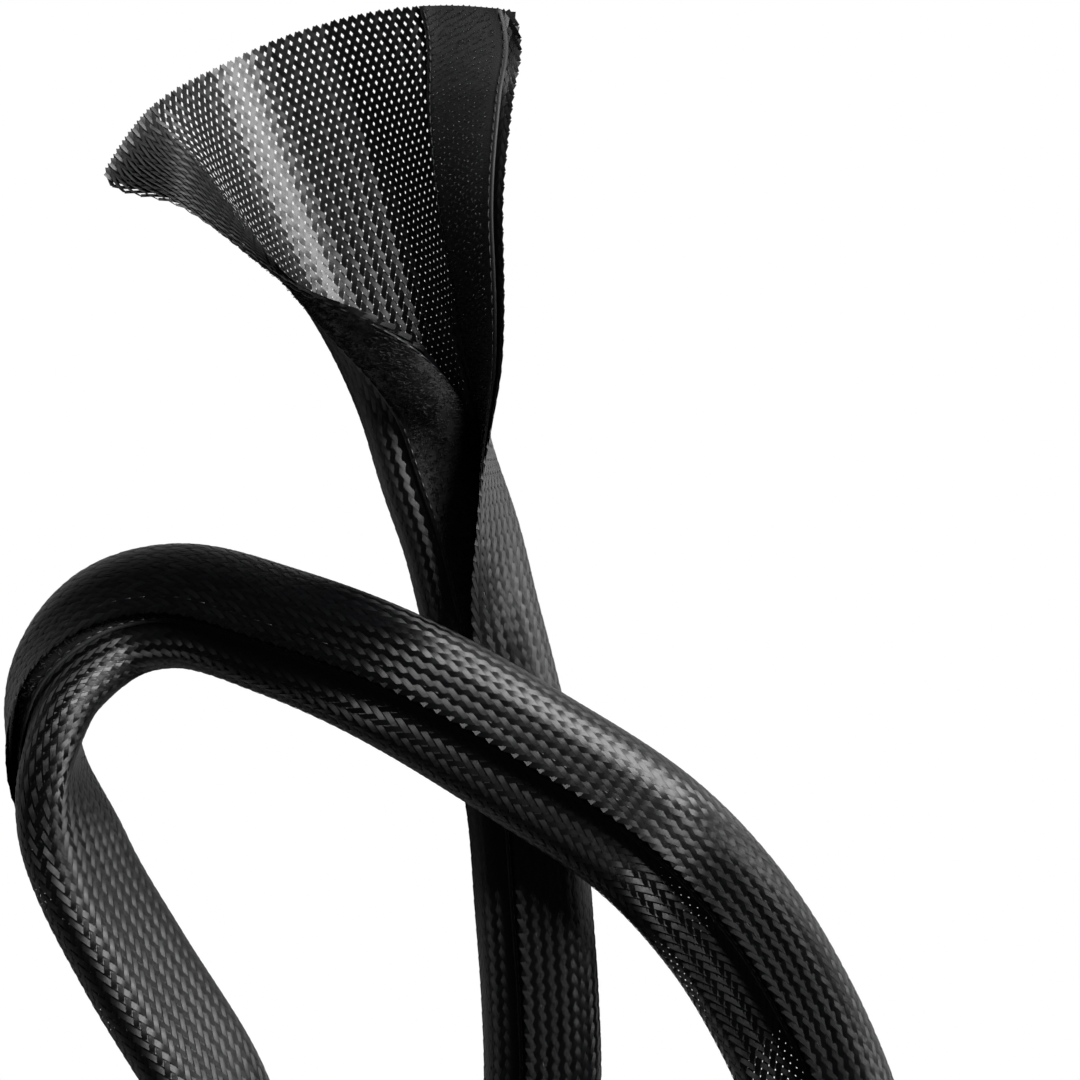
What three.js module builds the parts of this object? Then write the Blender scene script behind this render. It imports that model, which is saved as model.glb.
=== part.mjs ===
// A wrap-around braided cable sleeve. One flat braided sheet is rolled into a flattened tube, with a hook
// tape sewn inside its flap and a loop tape sewn on the edge below the flap. The sleeve lies on its back
// in one open loop, and its wrap is opened out into a fan at one end. Millimetres, +Z up.
import * as THREE from "three";

// The cloth and the tapes.
const BRAID_THICKNESS = 0.8;
const BRAID_RELIEF = 0.18;
const TAPE_WIDTH = 19;
const TAPE_FIELD_THICKNESS = 1.15;
const TAPE_SELVEDGE_THICKNESS = 0.4;
const TAPE_SELVEDGE_WIDTH = 1.8;
const EDGE_MARGIN = 2.5;
const SEWN_GAP = 0.3;
const MATING_GAP = 0.45;
const THREAD_WIDTH = 0.7;
const THREAD_THICKNESS = 0.25;
const THREAD_GAP = 0.38;

// The closed wrap: a flat run on the floor, a fold on each side, and the two laps on top.
const RUN_WIDTH = 12;
const FLAP_FOLD_RADIUS = 8;
const FLAP_TOP = 8.2;
const LOOP_SHOWN = 1.9;

// The opened end: how wide the braid spreads, and the arc that its cut edge follows.
const FAN_RADIUS = 94;
const FAN_FOLD_RADIUS = 22;
const GAP_SHARE = 0.52;
const GAP_ROWS = 10;

// The crossing, where one leg passes over the other.
const CROSSING_CLEARANCE = 0.9;
const CROSSING_FLAT = 28;
const CROSSING_RAMP = 72;

// Places closer than this are the same.
const TOUCH = 0.01;

// How finely the sheet is divided along its length.
const ROW_LENGTH = 18;
const FINE_ROW_LENGTH = 11;
const FAN_ROW_LENGTH = 8;

// The route of the middle of the sheet, seen from above, from the fan to the far end.
const ROUTE = [
  [-54, 114.5], [-44.6, 86], [-34.8, 57], [-28, 34], [-22.7, 15.6], [-17.4, 0], [-13.5, -15.6], [-8.9, -33.3],
  [-3.5, -57.8], [-1.5, -81.1], [0, -102.2], [0.5, -122], [-1.6, -147], [-11.1, -167], [-28.9, -175.5],
  [-47, -166], [-61.5, -144.4], [-73.4, -119.8], [-89.8, -93.2], [-101.8, -71.2], [-108.8, -49.2],
  [-106.6, -31.2], [-95.4, -18.2], [-80, -14.4], [-57, -20], [-32.9, -29.3], [-2.6, -46.6], [24, -64.6],
  [41.6, -84.3], [54.6, -106], [62.5, -124], [66.6, -138], [67.4, -152],
];

// The points of the route that lie at the part's origin and at the middle of the crossing.
const ORIGIN = ROUTE[8];
const BAND_MIDDLE = ROUTE[26];

// Knots of the changes along the sleeve: the distance from the fan's cut edge, then the value there. The
// angles are in degrees. A lean is how far the lap's free edge runs ahead of the middle of its row.
const FLAP_ANGLES = [[0, 10], [24, 29], [52, 50], [84, 70], [98, 86], [122, 122], [140, 152], [158, 180]];
const LAP_ANGLES = [[0, 49], [20, 75], [48, 99], [66, 111], [84, 144], [97, 173], [104, 180]];
const CURL_SHARES = [[42, 0], [78, 0.65], [102, 1]];
const LEANS = [[0, 11], [20, 11.7], [48, 10.9], [66, 7.8], [86, 5.2], [100, 1.8], [118, 0]];
const SPREADS = [[0, 1.62], [30, 1.38], [60, 1.16], [95, 1]];
const WIDENINGS = [
  [0, 0], [50, 0], [90, 0.6], [130, 0.4], [300, 0], [390, 5], [450, 4], [500, 1], [540, 2.4], [600, 5.2], [720, 7],
];
const ROLLS = [[258, 0], [395, 124], [444, 118], [478, 66], [508, 16], [536, 0]];

const COLOURS = {
  braid: { color: 0x111214, roughness: 0.38, metalness: 0 },
  tape: { color: 0x141416, roughness: 0.85, metalness: 0 },
  thread: { color: 0x1b1b1d, roughness: 0.6, metalness: 0 },
};

// Sizes that follow from those above.
const STACK = BRAID_THICKNESS + 2 * SEWN_GAP + MATING_GAP + 2 * TAPE_FIELD_THICKNESS;
const LAP_FOLD_RADIUS = FLAP_FOLD_RADIUS - STACK / 2;
const CURL_RADIUS = FLAP_FOLD_RADIUS - STACK;
const CURL_LENGTH = Math.max(0, TAPE_WIDTH + EDGE_MARGIN - FLAP_TOP - LOOP_SHOWN);
const FLAP_REACH = RUN_WIDTH / 2 + Math.PI * FLAP_FOLD_RADIUS + FLAP_TOP;
const LAP_REACH = RUN_WIDTH * 1.5 + Math.PI * LAP_FOLD_RADIUS + CURL_LENGTH;
const HOOK_ZONE = [FLAP_REACH - EDGE_MARGIN - TAPE_WIDTH, FLAP_REACH - EDGE_MARGIN];
const LOOP_ZONE = [-(LAP_REACH - EDGE_MARGIN), -(LAP_REACH - EDGE_MARGIN - TAPE_WIDTH)];
const TUBE_HEIGHT = 2 * FLAP_FOLD_RADIUS + BRAID_THICKNESS;

// A smooth curve of one value through its knots that never overshoots them.
function valueThrough(knots) {
  const n = knots.length;
  const slopes = [];
  for (let i = 0; i < n - 1; i++) slopes.push((knots[i + 1][1] - knots[i][1]) / (knots[i + 1][0] - knots[i][0]));
  const tangents = knots.map((_, i) => {
    if (i === 0 || i === n - 1 || slopes[i - 1] * slopes[i] <= 0) return 0;
    return (2 * slopes[i - 1] * slopes[i]) / (slopes[i - 1] + slopes[i]);
  });
  return (x) => {
    if (x <= knots[0][0]) return knots[0][1];
    if (x >= knots[n - 1][0]) return knots[n - 1][1];
    const i = knots.findIndex((knot) => knot[0] > x) - 1;
    const h = knots[i + 1][0] - knots[i][0];
    const u = (x - knots[i][0]) / h;
    const rise = (3 - 2 * u) * u * u;
    const pull = tangents[i] * u * (1 - u) * (1 - u) - tangents[i + 1] * u * u * (1 - u);
    return knots[i][1] * (1 - rise) + knots[i + 1][1] * rise + h * pull;
  };
}

const flapAngle = valueThrough(FLAP_ANGLES);
const lapAngle = valueThrough(LAP_ANGLES);
const curlShare = valueThrough(CURL_SHARES);
const spread = valueThrough(SPREADS);
const widening = valueThrough(WIDENINGS);
const roll = valueThrough(ROLLS);
const lean = valueThrough(LEANS);
const fanShare = valueThrough([[0, 1], [FAN_RADIUS, 0]]);

const route = new THREE.CatmullRomCurve3(ROUTE.map(([x, y]) => new THREE.Vector3(x, y, 0)), false, "centripetal");
route.arcLengthDivisions = 2000;
route.updateArcLengths();
const LENGTH = route.getLength();

// The distance along the route of one of its points.
function distanceOf(point) {
  const lengths = route.getLengths();
  return lengths[Math.round((ROUTE.indexOf(point) / (ROUTE.length - 1)) * (lengths.length - 1))];
}

// How far the band is lifted over the leg at this distance.
function lift(distance) {
  const away = Math.abs(distance - distanceOf(BAND_MIDDLE)) - CROSSING_FLAT;
  const down = THREE.MathUtils.smoothstep(away, 0, CROSSING_RAMP);
  return (TUBE_HEIGHT + 2 * BRAID_RELIEF + CROSSING_CLEARANCE) * (1 - down);
}

// A point on a strip that runs straight, bends up by an angle, and runs on, for each stage in turn.
function alongStages(reach, stages) {
  let x = 0;
  let z = 0;
  let turn = 0;
  let left = reach;
  for (const [straight, radius, angle] of [...stages, [Infinity, 1, 0]]) {
    const step = Math.min(left, straight);
    x += step * Math.cos(turn);
    z += step * Math.sin(turn);
    left -= step;
    if (left <= 0) break;
    const bent = Math.min(left / radius, angle);
    x += radius * (Math.sin(turn + bent) - Math.sin(turn));
    z += radius * (Math.cos(turn) - Math.cos(turn + bent));
    turn += bent;
    left -= bent * radius;
  }
  return { x, z, turn };
}

// The wrap's section at a distance along the sleeve: the middle of the braid across, with its outward normal.
function sectionAt(distance) {
  const wide = spread(distance);
  const wider = widening(distance);
  const run = RUN_WIDTH + wider;
  const opened = fanShare(distance);
  const lapRadius = THREE.MathUtils.lerp(LAP_FOLD_RADIUS, FAN_FOLD_RADIUS, opened);
  const curl = (curlShare(distance) * CURL_LENGTH) / CURL_RADIUS;
  const flapStages = [[run / 2, FLAP_FOLD_RADIUS, THREE.MathUtils.degToRad(flapAngle(distance))]];
  const lapStages = [
    [run / 2, lapRadius, THREE.MathUtils.degToRad(lapAngle(distance))],
    [run, CURL_LENGTH / Math.max(curl, 0.01), curl],
  ];
  return (across) => {
    const side = across < 0 ? -1 : 1;
    const sewn = side < 0 ? -LOOP_ZONE[1] : HOOK_ZONE[0];
    const open = Math.min(Math.abs(across), sewn);
    const added = ((side < 0 ? 1.5 : 0.5) * wider * open) / sewn;
    const reach = open * wide + added + Math.abs(across) - open;
    const { x, z, turn } = alongStages(reach, side < 0 ? lapStages : flapStages);
    const shift = (FLAP_FOLD_RADIUS - LAP_FOLD_RADIUS) / 2;
    return { x: side * x - shift, z, nx: side * Math.sin(turn), nz: -Math.cos(turn) };
  };
}

// The frame of one row of the sheet: its place, its heading, how it is rolled and how its row bends.
function rowAt(distance) {
  const share = Math.min(1, distance / LENGTH);
  const place = route.getPointAt(share);
  const heading = route.getTangentAt(share);
  const angle = THREE.MathUtils.degToRad(roll(distance));
  const section = sectionAt(distance);
  const bend = fanShare(distance) / FAN_RADIUS;
  const turned = (across, out) => {
    const p = section(across);
    const x = p.x + p.nx * out;
    const z = p.z + p.nz * out - FLAP_FOLD_RADIUS;
    return [x * Math.cos(angle) + z * Math.sin(angle), z * Math.cos(angle) - x * Math.sin(angle)];
  };
  return { place, heading, bend, turned, distance };
}

// Whether the braid lies on the floor here, where its outer face is even.
function isOnRun(across) {
  return Math.abs(across) < RUN_WIDTH / 2 + TOUCH;
}

// The lowest place that a row's outer face reaches, its ridges included.
function lowestOf(row, lines) {
  const reach = (across) => BRAID_THICKNESS / 2 + (isOnRun(across) ? 0 : BRAID_RELIEF);
  return Math.min(...lines.map((across) => row.turned(across, reach(across))[1]));
}

// The point of a row at a place across the sheet and a distance out from its middle.
function pointOn(row, across, out) {
  const [x, z] = row.turned(across, out);
  const side = row.bend > 0 ? Math.sin(x * row.bend) / row.bend : x;
  const bowed = row.bend > 0 ? (1 - Math.cos(x * row.bend)) / row.bend : 0;
  const ahead = bowed + lean(row.distance) * (Math.min(0, across) / LAP_REACH) ** 2;
  return new THREE.Vector3(
    row.place.x - row.heading.y * side + row.heading.x * ahead,
    row.place.y + row.heading.x * side + row.heading.y * ahead,
    z - row.low + lift(row.distance),
  );
}

// Evenly spaced values from one to another, without the last.
function spaced(from, to, count) {
  return Array.from({ length: count }, (_, i) => from + ((to - from) * i) / count);
}

// The places across the sheet where its faces meet, from the lap's free edge to the flap's.
function acrossLines() {
  const curlStart = -(LAP_REACH - CURL_LENGTH);
  const foldEnd = RUN_WIDTH / 2;
  const flapStart = FLAP_REACH - FLAP_TOP;
  return [
    -LAP_REACH,
    LOOP_ZONE[0],
    ...spaced(LOOP_ZONE[0] + TAPE_SELVEDGE_WIDTH, curlStart, 3),
    ...spaced(curlStart, LOOP_ZONE[1] - TAPE_SELVEDGE_WIDTH, 2),
    LOOP_ZONE[1] - TAPE_SELVEDGE_WIDTH,
    ...spaced(LOOP_ZONE[1], -foldEnd, 5),
    ...spaced(-foldEnd, foldEnd, 3),
    ...spaced(foldEnd, HOOK_ZONE[0], 3),
    HOOK_ZONE[0],
    ...spaced(HOOK_ZONE[0] + TAPE_SELVEDGE_WIDTH, flapStart, 3),
    ...spaced(flapStart, HOOK_ZONE[1] - TAPE_SELVEDGE_WIDTH, 2),
    HOOK_ZONE[1] - TAPE_SELVEDGE_WIDTH,
    HOOK_ZONE[1],
    FLAP_REACH,
  ];
}

// The distances along the sleeve of the sheet's rows: close together where the wrap opens or rolls.
function rowDistances() {
  const fine = (d) => d < FLAP_ANGLES.at(-1)[0] || (d > ROLLS[0][0] && d < ROLLS.at(-1)[0]);
  const distances = [0];
  while (distances.at(-1) < LENGTH - ROW_LENGTH / 2) {
    const last = distances.at(-1);
    const open = distances.length <= GAP_ROWS;
    distances.push(last + (open ? FAN_ROW_LENGTH : fine(last) ? FINE_ROW_LENGTH : ROW_LENGTH));
  }
  distances[distances.length - 1] = LENGTH;
  return distances;
}

const LINES = acrossLines();
const ROWS = rowDistances().map(rowAt);
for (const row of ROWS) row.low = lowestOf(row, LINES);

// Which way the braid stands at a crossing of its rows and lines.
function relief(i, j) {
  return (i + j) % 2 ? BRAID_RELIEF : -BRAID_RELIEF;
}

// Whether a gap of the open weave goes through the cell that starts at this row and line.
function isGap(i, j) {
  return i < GAP_ROWS && LINES[j] > LOOP_ZONE[1] - TOUCH && LINES[j + 1] < HOOK_ZONE[0] + TOUCH;
}

// Whether the loop tape lies on the outer face at this line.
function isUnderTape(j) {
  return LINES[j] < LOOP_ZONE[1] + TOUCH;
}

// Whether the hook tape lies on the inner face at this line.
function isOverTape(j) {
  return LINES[j] > HOOK_ZONE[0] - TOUCH;
}

// The two faces of the braid at a crossing of a row and a line. A face next to a tape or the floor is even.
function braidFaces(i, j) {
  const across = LINES[j];
  const step = relief(i, j);
  const outer = BRAID_THICKNESS / 2 + (isUnderTape(j) || isOnRun(across) ? 0 : step);
  const inner = -BRAID_THICKNESS / 2 + (isOverTape(j) ? 0 : step);
  return [pointOn(ROWS[i], across, outer), pointOn(ROWS[i], across, inner)];
}

// Collects triangles, and ends as a geometry.
class Faces {
  constructor() {
    this.numbers = [];
  }

  triangle(a, b, c) {
    for (const p of [a, b, c]) this.numbers.push(p.x, p.y, p.z);
  }

  // A four-sided face, split along the diagonal from its first corner or from its second.
  quad(a, b, c, d, fromSecond = false) {
    if (fromSecond) {
      this.triangle(a, b, d);
      this.triangle(b, c, d);
    } else {
      this.triangle(a, b, c);
      this.triangle(a, c, d);
    }
  }

  // A four-sided face with a diamond left out of it.
  framed(corners, diamond) {
    for (let k = 0; k < 4; k++) {
      const next = (k + 1) % 4;
      this.triangle(corners[k], corners[next], diamond[k]);
      this.triangle(corners[next], diamond[next], diamond[k]);
    }
  }

  geometry() {
    const made = new THREE.BufferGeometry();
    made.setAttribute("position", new THREE.Float32BufferAttribute(this.numbers, 3));
    made.computeVertexNormals();
    return made;
  }
}

// The corners of a gap inside a cell: a point from the cell's middle toward each of its sides.
function diamondIn(corners) {
  const middle = new THREE.Vector3();
  for (const p of corners) middle.addScaledVector(p, 0.25);
  return corners.map((p, k) => {
    const side = p.clone().add(corners[(k + 1) % 4]).multiplyScalar(0.5);
    return middle.clone().lerp(side, GAP_SHARE);
  });
}

// One cell of the braid: its outer and inner face, with a gap through them in the open weave.
function addCell(faces, outer, inner, i, j) {
  const corners = (grid) => [grid[i][j], grid[i][j + 1], grid[i + 1][j + 1], grid[i + 1][j]];
  const out = corners(outer);
  const back = corners(inner);
  if (!isGap(i, j)) {
    const crossed = (i + j) % 2 === 0;
    faces.quad(out[0], out[1], out[2], out[3], crossed && !isUnderTape(j));
    faces.quad(back[3], back[2], back[1], back[0], !crossed || isOverTape(j));
    return;
  }
  const holeOut = diamondIn(out);
  const holeBack = diamondIn(back);
  faces.framed(out, holeOut);
  faces.framed([...back].reverse(), [holeBack[2], holeBack[1], holeBack[0], holeBack[3]]);
  for (let k = 0; k < 4; k++) {
    const next = (k + 1) % 4;
    faces.quad(holeOut[k], holeOut[next], holeBack[next], holeBack[k]);
  }
}

// A closed shell from two grids of points, with its four edges closed.
function shellOf(outer, inner, addInside) {
  const faces = new Faces();
  const rows = outer.length;
  const lines = outer[0].length;
  for (let i = 0; i < rows - 1; i++) {
    for (let j = 0; j < lines - 1; j++) addInside(faces, outer, inner, i, j);
    faces.quad(outer[i + 1][0], inner[i + 1][0], inner[i][0], outer[i][0]);
    faces.quad(outer[i][lines - 1], inner[i][lines - 1], inner[i + 1][lines - 1], outer[i + 1][lines - 1]);
  }
  for (let j = 0; j < lines - 1; j++) {
    faces.quad(outer[0][j], inner[0][j], inner[0][j + 1], outer[0][j + 1]);
    faces.quad(outer[rows - 1][j + 1], inner[rows - 1][j + 1], inner[rows - 1][j], outer[rows - 1][j]);
  }
  return faces.geometry();
}

// The braided sheet, with its two faces, its gaps and its four edges.
function braidGeometry() {
  const pairs = ROWS.map((_, i) => LINES.map((__, j) => braidFaces(i, j)));
  const outer = pairs.map((row) => row.map((pair) => pair[0]));
  const inner = pairs.map((row) => row.map((pair) => pair[1]));
  return shellOf(outer, inner, addCell);
}

// A plain cell of a strip, with both faces split the same way.
function addPlainCell(faces, outer, inner, i, j) {
  faces.quad(outer[i][j], outer[i][j + 1], outer[i + 1][j + 1], outer[i + 1][j]);
  faces.quad(inner[i + 1][j], inner[i + 1][j + 1], inner[i][j + 1], inner[i][j], true);
}

// A strip along the sleeve. Each line across it has its place and how far out its two faces lie.
function stripGeometry(profile) {
  const grid = (face) => ROWS.map((row) => profile.map((line) => pointOn(row, line.across, line[face])));
  return shellOf(grid("far"), grid("near"), addPlainCell);
}

// The section of a tape: a raised field between two thin selvedges. It faces in on the flap, out on the lap.
function tapeProfile(zone, out) {
  const base = BRAID_THICKNESS / 2 + SEWN_GAP;
  const step = 0.05;
  const ends = [zone[0] + TAPE_SELVEDGE_WIDTH, zone[1] - TAPE_SELVEDGE_WIDTH];
  const field = [ends[0], ...LINES.filter((v) => v > ends[0] + step && v < ends[1] - step), ends[1]];
  const line = (across, thickness) => {
    const [near, far] = out > 0 ? [base, base + thickness] : [-base - thickness, -base];
    return { across, near, far };
  };
  return [
    line(zone[0], TAPE_SELVEDGE_THICKNESS),
    line(field[0] - step, TAPE_SELVEDGE_THICKNESS),
    ...field.map((across) => line(across, TAPE_FIELD_THICKNESS)),
    line(field.at(-1) + step, TAPE_SELVEDGE_THICKNESS),
    line(zone[1], TAPE_SELVEDGE_THICKNESS),
  ];
}

// The section of a row of stitching on a tape's selvedge.
function threadProfile(middle, out) {
  const base = BRAID_THICKNESS / 2 + SEWN_GAP + TAPE_SELVEDGE_THICKNESS + THREAD_GAP;
  const ends = out > 0 ? [base, base + THREAD_THICKNESS] : [-base - THREAD_THICKNESS, -base];
  return [middle - THREAD_WIDTH / 2, middle + THREAD_WIDTH / 2].map((across) => ({
    across,
    near: ends[0],
    far: ends[1],
  }));
}

// A named mesh with its own material.
function piece(name, geometry, look) {
  const mesh = new THREE.Mesh(geometry, new THREE.MeshStandardMaterial(look));
  mesh.name = name;
  return mesh;
}

// A tape with a row of stitching along each of its selvedges.
function sewnTape(name, zone, out) {
  const group = new THREE.Group();
  const inset = TAPE_SELVEDGE_WIDTH / 2;
  const near = out > 0 ? zone[1] - inset : zone[0] + inset;
  const edge = out > 0 ? zone[0] + inset : zone[1] - inset;
  group.add(
    piece(name, stripGeometry(tapeProfile(zone, out)), COLOURS.tape),
    piece(`${name}_outer_stitching`, stripGeometry(threadProfile(edge, out)), COLOURS.thread),
    piece(`${name}_inner_stitching`, stripGeometry(threadProfile(near, out)), COLOURS.thread),
  );
  return group;
}

const sleeve = new THREE.Group();
sleeve.add(piece("braided_sheet", braidGeometry(), COLOURS.braid));
sleeve.add(sewnTape("hook_tape", HOOK_ZONE, -1));
sleeve.add(sewnTape("loop_tape", LOOP_ZONE, 1));

sleeve.position.set(-ORIGIN[0], -ORIGIN[1], 0);

export default sleeve;
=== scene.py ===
"""A hook and loop cable sleeve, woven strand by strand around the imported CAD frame.

The sleeve is one surface: a distance along its route, a place across the flat sheet and a distance out
from the middle of the cloth give a point. Every visual piece, from the braid's strands to the stitches,
is laid on that surface, which is the same one that the CAD nodes were built on. Lengths are millimetres
until a mesh is made, and metres from there on.
"""

import logging
import math
from dataclasses import dataclass
from enum import Enum
from typing import Any, Sequence

import bpy
import numpy as np
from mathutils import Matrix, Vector


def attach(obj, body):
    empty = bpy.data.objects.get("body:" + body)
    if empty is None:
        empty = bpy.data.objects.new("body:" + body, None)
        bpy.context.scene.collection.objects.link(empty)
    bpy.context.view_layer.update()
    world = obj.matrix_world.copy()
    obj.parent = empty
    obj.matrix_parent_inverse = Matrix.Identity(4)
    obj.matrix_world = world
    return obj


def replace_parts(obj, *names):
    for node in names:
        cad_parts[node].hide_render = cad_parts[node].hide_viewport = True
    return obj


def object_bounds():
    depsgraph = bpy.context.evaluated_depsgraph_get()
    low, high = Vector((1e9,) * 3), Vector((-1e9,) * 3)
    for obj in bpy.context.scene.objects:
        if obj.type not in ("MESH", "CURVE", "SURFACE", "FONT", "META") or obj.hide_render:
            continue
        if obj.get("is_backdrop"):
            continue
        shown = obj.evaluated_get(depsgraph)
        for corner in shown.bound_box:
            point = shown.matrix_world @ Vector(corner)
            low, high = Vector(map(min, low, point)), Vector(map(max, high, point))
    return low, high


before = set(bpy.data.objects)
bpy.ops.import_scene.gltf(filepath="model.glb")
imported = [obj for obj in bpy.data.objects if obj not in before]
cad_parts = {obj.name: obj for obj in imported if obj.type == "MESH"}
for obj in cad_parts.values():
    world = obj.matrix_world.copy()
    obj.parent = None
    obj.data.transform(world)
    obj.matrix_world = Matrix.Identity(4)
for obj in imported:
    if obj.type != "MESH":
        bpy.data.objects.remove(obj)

LOG = logging.getLogger("cable_sleeve")
MM = 0.001
SEED = 20_411

# How far apart two points lie that give a direction on the surface, in millimetres.
PROBE = 0.5
# The least length, bend and curl that are divided by.
LEAST_LENGTH, LEAST_BEND, LEAST_CURL = 1e-12, 1e-9, 0.01
# How many widths of the run the cloth covers on each side of the run's middle.
FLAP_RUNS, LAP_RUNS = 0.5, 1.5
# How many crossings of the braid a strand lies over, and then under.
FLOAT = 2

Knots = Sequence[tuple[float, float]]

# The plan of the sleeve's middle in the picture's plane, from the fan's cut edge to the far end.
ROUTE: Knots = (
    (-54, 114.5), (-44.6, 86), (-34.8, 57), (-28, 34), (-22.7, 15.6), (-17.4, 0), (-13.5, -15.6),
    (-8.9, -33.3), (-3.5, -57.8), (-1.5, -81.1), (0, -102.2), (0.5, -122), (-1.6, -147),
    (-11.1, -167), (-28.9, -175.5), (-47, -166), (-61.5, -144.4), (-73.4, -119.8), (-89.8, -93.2),
    (-101.8, -71.2), (-108.8, -49.2), (-106.6, -31.2), (-95.4, -18.2), (-80, -14.4), (-57, -20),
    (-32.9, -29.3), (-2.6, -46.6), (24, -64.6), (41.6, -84.3), (54.6, -106), (62.5, -124),
    (66.6, -138), (67.4, -152),
)
# The point of the route over the part's origin, and the point of the band nearest the crossing.
ORIGIN_POINT = 8
BAND_POINT = 26

# What changes along the sleeve: pairs of a distance from the fan's cut edge and the value there.
# The angles in degrees that the flap and the lap are folded up by.
FLAP_ANGLES: Knots = (
    (0, 10), (24, 29), (52, 50), (84, 70), (98, 86), (122, 122), (140, 152), (158, 180),
)
LAP_ANGLES: Knots = ((0, 49), (20, 75), (48, 99), (66, 111), (84, 144), (97, 173), (104, 180))
# How much of the lap's free edge is curled under the flap.
CURL_SHARES: Knots = ((42, 0), (78, 0.65), (102, 1))
# How far the lap's free edge runs ahead of the run, in millimetres.
LEANS: Knots = ((0, 11), (20, 11.7), (48, 10.9), (66, 7.8), (86, 5.2), (100, 1.8), (118, 0))
# How many times wider the cloth between the tapes is than in the closed wrap.
SPREADS: Knots = ((0, 1.62), (30, 1.38), (60, 1.16), (95, 1))
# What is added to the run's width, in millimetres.
WIDENINGS: Knots = (
    (0, 0), (50, 0), (90, 0.6), (130, 0.4), (300, 0), (390, 5), (450, 4), (500, 1), (540, 2.4), (600, 5.2),
    (720, 7),
)
# The angle in degrees that the wrap is rolled by, where the leg turns on its side.
ROLLS: Knots = ((258, 0), (395, 124), (444, 118), (478, 66), (508, 16), (536, 0))


class Family(Enum):
    """The two ways in which the braid's strands lean. The value is the step across per crossing."""

    LEFT = -1
    RIGHT = 1


class Face(Enum):
    """The side of the cloth that something is on. The value is the sign of its distance out."""

    INNER = -1
    OUTER = 1


@dataclass(frozen=True)
class WrapSizes:
    """The sizes of the wrap, as the CAD source has them, in millimetres."""

    braid_thickness: float = 0.8
    braid_relief: float = 0.18
    tape_width: float = 19.0
    tape_field_thickness: float = 1.15
    tape_selvedge_thickness: float = 0.4
    tape_selvedge_width: float = 1.8
    edge_margin: float = 2.5
    sewn_gap: float = 0.3
    mating_gap: float = 0.45
    run_width: float = 12.0
    fold_radius: float = 8.0
    flap_top: float = 8.2
    loop_shown: float = 1.9
    fan_radius: float = 94.0
    fan_fold_radius: float = 22.0
    crossing_clearance: float = 0.9
    crossing_flat: float = 28.0
    crossing_ramp: float = 72.0

    @property
    def stack(self) -> float:
        """Thickness of the flap's layers over the lap's."""
        return self.braid_thickness + 2 * self.sewn_gap + self.mating_gap + 2 * self.tape_field_thickness

    @property
    def lap_fold_radius(self) -> float:
        """Radius of the fold on the lap's side."""
        return self.fold_radius - self.stack / 2

    @property
    def curl_radius(self) -> float:
        """Radius of the lap's free edge, tucked inside the flap's fold."""
        return self.fold_radius - self.stack

    @property
    def curl_length(self) -> float:
        """Length of the lap that follows the flap's fold."""
        return max(0.0, self.tape_width + self.edge_margin - self.flap_top - self.loop_shown)

    @property
    def flap_reach(self) -> float:
        """Distance across the cloth from the middle of the run to the flap's free edge."""
        return self.run_width * FLAP_RUNS + math.pi * self.fold_radius + self.flap_top

    @property
    def lap_reach(self) -> float:
        """Distance across the cloth from the middle of the run to the lap's free edge."""
        return self.run_width * LAP_RUNS + math.pi * self.lap_fold_radius + self.curl_length

    @property
    def hook_zone(self) -> tuple[float, float]:
        """Where the hook tape lies across the cloth."""
        return self.flap_reach - self.edge_margin - self.tape_width, self.flap_reach - self.edge_margin

    @property
    def loop_zone(self) -> tuple[float, float]:
        """Where the loop tape lies across the cloth."""
        return -(self.lap_reach - self.edge_margin), -(self.lap_reach - self.edge_margin - self.tape_width)

    @property
    def tube_height(self) -> float:
        """Height of the closed wrap."""
        return 2 * self.fold_radius + self.braid_thickness


class SmoothValue:
    """A value that runs smoothly through its knots and never overshoots them."""

    def __init__(self, knots: Knots) -> None:
        """Prepares the tangents.

        Args:
            knots: Pairs of a place and the value there, in rising order of place.
        """
        self.x, self.y = (np.array(column, float) for column in zip(*knots))
        slopes = np.diff(self.y) / np.diff(self.x)
        self.tangents = np.zeros(len(self.x))
        for i in range(1, len(self.x) - 1):
            before, after = slopes[i - 1], slopes[i]
            if before * after > 0:
                self.tangents[i] = 2 * before * after / (before + after)

    def __call__(self, place: np.ndarray) -> np.ndarray:
        """Reads the value.

        Args:
            place: Where to read it.

        Returns:
            The value at each place, held level beyond the first and the last knot.
        """
        at = np.clip(place, self.x[0], self.x[-1])
        i = np.clip(np.searchsorted(self.x, at, side="right") - 1, 0, len(self.x) - 2)
        h = self.x[i + 1] - self.x[i]
        u = (at - self.x[i]) / h
        rise = (3 - 2 * u) * u * u
        pull = self.tangents[i] * u * (1 - u) ** 2 - self.tangents[i + 1] * u * u * (1 - u)
        return self.y[i] * (1 - rise) + self.y[i + 1] * rise + h * pull


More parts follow.
